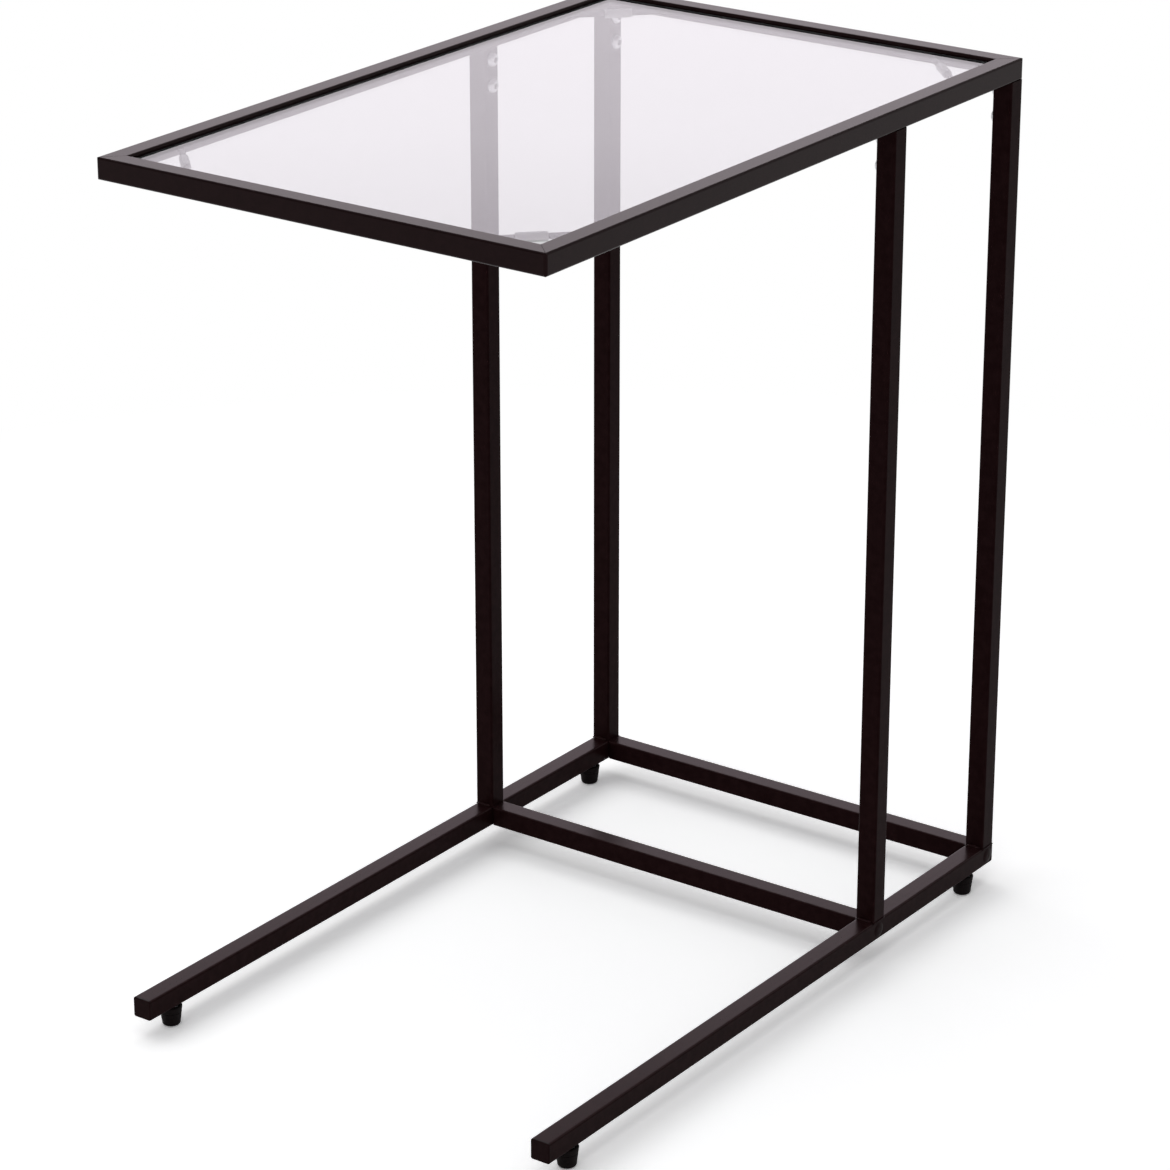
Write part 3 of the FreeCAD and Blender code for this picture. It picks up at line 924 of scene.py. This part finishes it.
@dataclass
class RodSleeves:
    """The four cloudy sleeves on the corner rods, pressed flat under the glass."""

    columns: int = 64
    length: float = 0.020
    radius: float = 0.00325
    bore_radius: float = 0.0021
    edge: float = 0.0004
    edge_steps: int = 4
    glass_gap: float = 0.00006

    def section(self, reach: float) -> Outline:
        """The sleeve's wall on one side of its axis, as a closed outline.

        Args:
            reach: The wall's outer radius there.

        Returns:
            The outline, as radius and place along the axis.
        """
        half, inset = self.length / 2, self.length / 2 - self.edge
        outline = [(self.bore_radius, -half), (self.bore_radius, half)]
        outline += reversed(arc((reach - self.edge, inset), self.edge, 0, 90, self.edge_steps))
        outline += reversed(arc((reach - self.edge, -inset), self.edge, -90, 0, self.edge_steps))
        return outline

    def build_sleeve(self, corner: Corner) -> bpy.types.Object:
        """Builds a sleeve over the space of its CAD node.

        Args:
            corner: Which corner it belongs to.

        Returns:
            The piece.
        """
        low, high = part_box("rod_sleeve_" + corner.value)
        middle = axis_foot(low, high)
        middle.z += self.radius
        along = Vector((corner.side, -corner.end, 0)).normalized()
        across = UP.cross(along)
        seat = high.z - self.glass_gap - middle.z
        rows = []
        for k in range(self.columns + 1):
            angle = math.tau * k / self.columns
            outward = across * math.cos(angle) + UP * math.sin(angle)
            reach = min(self.radius, seat / outward.z) if outward.z > 0 else self.radius
            rows.append([middle + outward * radius + along * place
                         for radius, place in self.section(reach)])
        skin = Skin()
        skin.loft(rows)
        return skin.piece("clear_sleeve_" + corner.value)

    def build(self, finisher: Finisher) -> None:
        """Builds and dresses the four sleeves.

        Args:
            finisher: What finishes the pieces.
        """
        for corner in Corner:
            finisher.dress_piece(self.build_sleeve(corner), Slot.SLEEVE, "frame",
                                 "rod_sleeve_" + corner.value)


@dataclass(frozen=True)
class Lamp:
    """A soft rectangular lamp, which the camera itself never sees."""

    name: str
    place: Place
    width: float
    height: float
    power: float
    colour: Colour
    mirrored: bool

    def build(self, target: Vector) -> None:
        """Sets up the lamp, and shows it in glossy and clear pieces where it is mirrored.

        Args:
            target: The point that it is aimed at.
        """
        light = bpy.data.lights.new(self.name, "AREA")
        light.shape = "RECTANGLE"
        light.size = self.width
        light.size_y = self.height
        light.energy = self.power
        light.color = self.colour
        holder = bpy.data.objects.new(self.name, light)
        holder.location = self.place
        holder.visible_camera = False
        holder.visible_glossy = self.mirrored
        holder.visible_transmission = self.mirrored
        aim = target - Vector(self.place)
        holder.rotation_euler = aim.to_track_quat("-Z", "Y").to_euler()
        bpy.context.scene.collection.objects.link(holder)
        LOG.info("set up %s", self.name)


KEY_LAMP = Lamp(name="key_lamp", place=(-0.6, -0.1, 2.4), width=3.8, height=3.8, power=46.0,
                colour=(1.0, 1.0, 1.0), mirrored=False)
SOFTBOX = Lamp(name="softbox", place=(-3.15, 4.38, 1.75), width=3.6, height=1.2, power=6.8,
               colour=(1.0, 0.80, 1.0), mirrored=True)


@dataclass
class Studio:
    """A white floor, a large soft lamp overhead, a softbox behind the table, and the camera."""

    azimuth_deg: float = 35.66
    elevation_deg: float = 21.77
    distance: float = 2.929
    target: Place = (0.0032, 0.0026, 0.2869)
    lens_mm: float = 129.8
    floor_half: float = 12.0
    floor_colour: Colour = (0.90, 0.90, 0.905)
    floor_seen: Colour = (1.36, 1.36, 1.367)
    floor_lift: float = 0.10
    white_reach: Span = (0.6, 1.25)
    world_light: float = 0.38
    backdrop_top: float = 0.15
    backdrop_fade: Span = (0.27, 0.42)
    lamps: tuple[Lamp, ...] = (KEY_LAMP, SOFTBOX)

    def floor_material(self) -> bpy.types.Material:
        """Makes the floor's material, which is brighter where it is seen than where it lights.

        Returns:
            The material.
        """
        material = bpy.data.materials.new("studio_floor")
        board = Board(material)
        surface = board.add("BsdfDiffuse", Color=(*self.floor_colour, 1.0))
        bright = board.add("BsdfDiffuse", Color=(*self.floor_seen, 1.0))
        glow = board.add("Emission", Strength=self.floor_lift)
        lifted = board.add("AddShader")
        board.join(bright.outputs["BSDF"], lifted.inputs[0])
        board.join(glow.outputs["Emission"], lifted.inputs[1])
        reach = board.add("VectorMath")
        reach.operation = "LENGTH"
        board.join(board.add("TexCoord").outputs["Object"], reach.inputs[0])
        away = board.spread(reach.outputs["Value"], 0.0, 1.0, *self.white_reach)
        white = board.add("Emission", Strength=1.0)
        shown = board.mix(away, lifted.outputs["Shader"], white.outputs["Emission"])
        board.close(board.mix(board.seen(), surface.outputs["BSDF"], shown))
        return material

    def build_floor(self) -> None:
        """Makes the floor, which fades to plain white where it is seen away from the table."""
        mesh = bpy.data.meshes.new("floor")
        half = self.floor_half
        corners = [(-half, -half, 0), (half, -half, 0), (half, half, 0), (-half, half, 0)]
        mesh.from_pydata(corners, [], [(0, 1, 2, 3)])
        floor = bpy.data.objects.new("floor", mesh)
        bpy.context.scene.collection.objects.link(floor)
        mesh.materials.append(self.floor_material())

    def build_world(self) -> None:
        """Makes the even light, and a white backdrop, dimmer overhead, where it is seen."""
        world = bpy.data.worlds.new("studio")
        board = Board(world)
        white = (1.0, 1.0, 1.0, 1.0)
        sky = board.add("Background", Color=white, Strength=self.world_light)
        backdrop = board.add("Background", Color=white)
        way = board.add("SeparateXYZ")
        board.join(board.add("TexCoord").outputs["Generated"], way.inputs["Vector"])
        fade = board.spread(way.outputs["Z"], 1.0, self.backdrop_top, *self.backdrop_fade)
        board.join(fade, backdrop.inputs["Strength"])
        shown = board.mix(board.seen(), sky.outputs["Background"], backdrop.outputs["Background"])
        board.close(shown, "OutputWorld")
        bpy.context.scene.world = world

    def build_camera(self) -> None:
        """Puts the camera at the photograph's viewing angle."""
        azimuth, elevation = math.radians(self.azimuth_deg), math.radians(self.elevation_deg)
        back = Vector((math.sin(azimuth) * math.cos(elevation),
                       -math.cos(azimuth) * math.cos(elevation), math.sin(elevation)))
        camera = bpy.data.cameras.new("camera")
        camera.lens = self.lens_mm
        holder = bpy.data.objects.new("camera", camera)
        holder.location = Vector(self.target) + back * self.distance
        holder.rotation_euler = (-back).to_track_quat("-Z", "Y").to_euler()
        bpy.context.scene.collection.objects.link(holder)
        bpy.context.scene.camera = holder

    def build(self) -> None:
        """Builds the floor, light and camera."""
        bpy.context.scene.view_settings.view_transform = "Standard"
        self.build_floor()
        self.build_world()
        for lamp in self.lamps:
            lamp.build(Vector(self.target))
        self.build_camera()
        LOG.info("studio ready")


def main() -> None:
    """Dresses the table, adds its details and builds the studio round it."""
    logging.basicConfig(level=logging.INFO, format="%(name)s: %(message)s")
    finisher = Finisher()
    finisher.dress_nodes()
    LevellingFeet().build(finisher)
    FrameWelds().build(finisher)
    RodSleeves().build(finisher)
    Studio().build()


if __name__ == "__main__":
    main()
